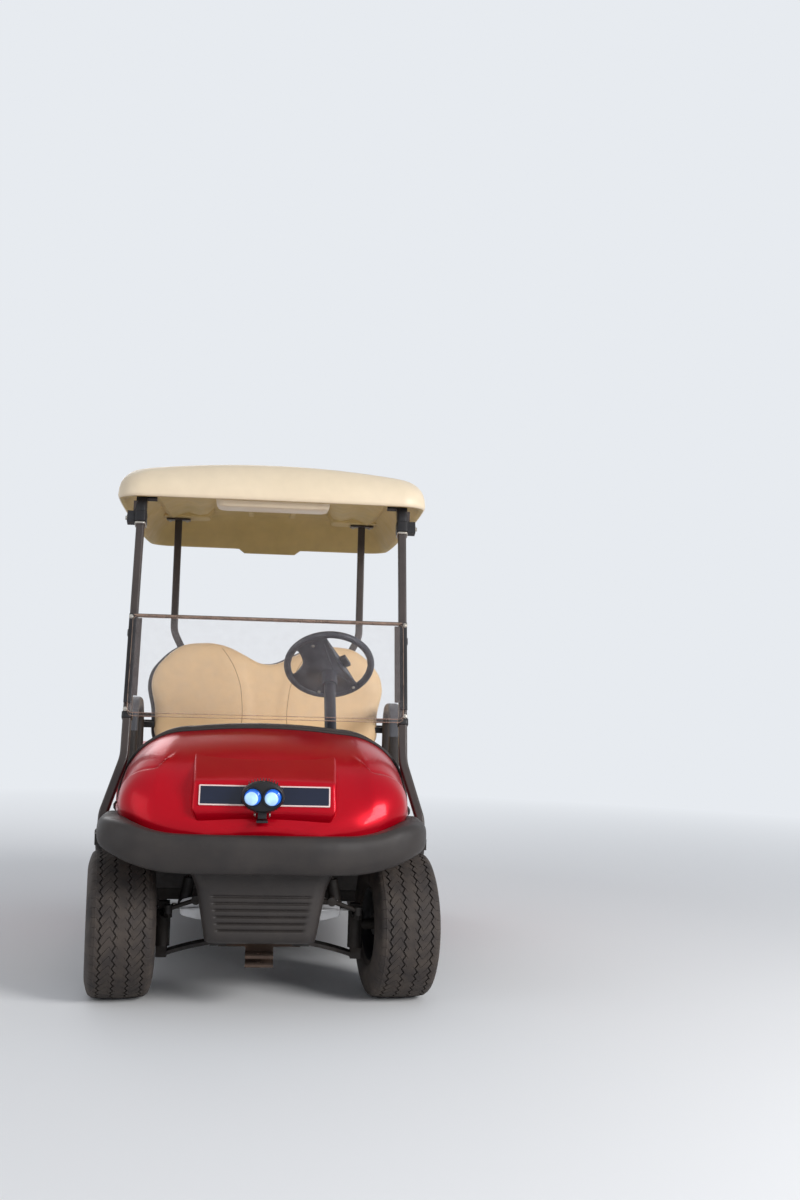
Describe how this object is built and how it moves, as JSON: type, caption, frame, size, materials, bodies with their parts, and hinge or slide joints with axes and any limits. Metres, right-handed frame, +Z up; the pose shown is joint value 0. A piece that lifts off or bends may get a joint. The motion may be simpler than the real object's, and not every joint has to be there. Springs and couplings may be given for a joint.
{
  "type": "golf cart",
  "caption": "Two-seat electric golf cart with a canopy roof, bench seat, folding clear windshield, front bumper and rear bag well.",
  "frame": {"origin": "on the ground, midway between the ends of the two bumpers, on the centre plane", "axes": "+Z up; the cart drives towards -Y; +X towards the cart's left, the driver's side"},
  "size_m": [1.2, 2.34, 1.765],
  "materials": {
    "red_body": "glossy red metallic body moulding",
    "cream_roof": "satin cream moulding",
    "black_moulding": "grained black moulding",
    "floor_mat": "ribbed rubber mat",
    "black_steel": "powder-coated steel",
    "tan_vinyl": "padded tan vinyl",
    "grey_shell": "dark grey moulding",
    "tyre_rubber": "dusty black rubber",
    "silver_rim": "silver painted rim",
    "suspension_steel": "dusty dark steel",
    "silver_plate": "bare alloy plate",
    "rusty_steel": "rusty bracket",
    "clear_panel": "clear windshield panel",
    "plate_black": "blank plate with a pale rim",
    "lamp_black": "finned lamp housing",
    "blue_lens": "blue lens",
    "red_lens": "red reflector",
    "wheel_black": "moulded steering wheel",
    "battery_case": "battery cases"
  },
  "bodies": {
    "chassis": {"frame": "black_steel", "front_leaf_spring": "suspension_steel", "kingpins": "suspension_steel", "upper_arms": "silver_plate", "front_dampers": "suspension_steel", "steering_gear": "suspension_steel", "rear_axle": "suspension_steel", "rear_leaf_springs": "suspension_steel", "rear_dampers": "suspension_steel", "floor_pan": "floor_mat", "sills": "black_moulding", "pedals": "black_steel", "front_body": "red_body", "name_plate": "plate_black", "spot_lamp": "lamp_black", "spot_lamp_lenses": "blue_lens", "front_bumper": "black_moulding", "front_fascia": "black_moulding", "tow_bracket": "rusty_steel", "dash_panel": "black_moulding", "steering_column": "black_moulding", "rear_body": "red_body", "seat_box": "black_moulding", "switch_panel": "grey_shell", "battery_pack": "battery_case", "bag_well": "black_moulding", "rear_bumper": "black_moulding", "rear_reflectors": "red_lens", "backrest_cushion": "tan_vinyl", "backrest_shell": "grey_shell", "backrest_bars": "black_steel", "hip_restraints": "grey_shell", "front_posts": "black_steel", "rear_posts": "black_steel", "roof": "cream_roof", "windshield_lower": "clear_panel", "windshield_upper": "clear_panel", "windshield_channels": "black_moulding", "basket": "black_steel"},
    "wheel_front_left": {"tyre_front_left": "tyre_rubber", "rim_front_left": "silver_rim"},
    "wheel_front_right": {"tyre_front_right": "tyre_rubber", "rim_front_right": "silver_rim"},
    "wheel_rear_left": {"tyre_rear_left": "tyre_rubber", "rim_rear_left": "silver_rim"},
    "wheel_rear_right": {"tyre_rear_right": "tyre_rubber", "rim_rear_right": "silver_rim"},
    "knuckle_left": {"knuckle_left": "suspension_steel"},
    "knuckle_right": {"knuckle_right": "suspension_steel"},
    "steering_rack": {"rack_and_tie_rods": "suspension_steel"},
    "steering_wheel": {"steering_wheel": "wheel_black"},
    "seat_lid": {"seat_cushion": "tan_vinyl", "seat_pan": "black_moulding"}
  },
  "joints": [
    {"name": "steer_left", "type": "hinge", "parent": "chassis", "child": "knuckle_left", "pos_m": [0.305, -0.78, 0.2285], "axis": [0, 0, 1], "range_deg": [-35, 21]},
    {"name": "steer_right", "type": "hinge", "parent": "chassis", "child": "knuckle_right", "pos_m": [-0.305, -0.78, 0.2285], "axis": [0, 0, 1], "range_deg": [-35, 21]},
    {"name": "steering_wheel_turn", "type": "hinge", "parent": "chassis", "child": "steering_wheel", "pos_m": [0.229, -0.12, 1.06], "axis": [0, 0.7071, 0.7071], "range_deg": [-420, 252]},
    {"name": "rack_slide", "type": "slide", "parent": "chassis", "child": "steering_rack", "axis": [1, 0, 0], "range_m": [-0.05498, 0.03299]},
    {"name": "wheel_spin_front_left", "type": "hinge", "parent": "knuckle_left", "child": "wheel_front_left", "pos_m": [0.43701, -0.76379, 0.2285], "axis": [0.9925, 0.1219, 0], "continuous": true},
    {"name": "wheel_spin_front_right", "type": "hinge", "parent": "knuckle_right", "child": "wheel_front_right", "pos_m": [-0.43701, -0.79621, 0.2285], "axis": [0.9925, 0.1219, 0], "continuous": true},
    {"name": "wheel_spin_rear_left", "type": "hinge", "parent": "chassis", "child": "wheel_rear_left", "pos_m": [0.489, 0.884, 0.2285], "axis": [1, 0, 0], "continuous": true},
    {"name": "wheel_spin_rear_right", "type": "hinge", "parent": "chassis", "child": "wheel_rear_right", "pos_m": [-0.489, 0.884, 0.2285], "axis": [1, 0, 0], "continuous": true},
    {"name": "seat_tilt", "type": "hinge", "parent": "chassis", "child": "seat_lid", "pos_m": [0, 0.062, 0.5925], "axis": [1, 0, 0], "range_deg": [0, 60]}
  ],
  "couplings": [
    {"joint": "steer_right", "follows": "steer_left", "ratio": 1},
    {"joint": "steering_wheel_turn", "follows": "steer_left", "ratio": 12},
    {"joint": "rack_slide", "follows": "steer_left", "m_per_rad": 0.09}
  ]
}
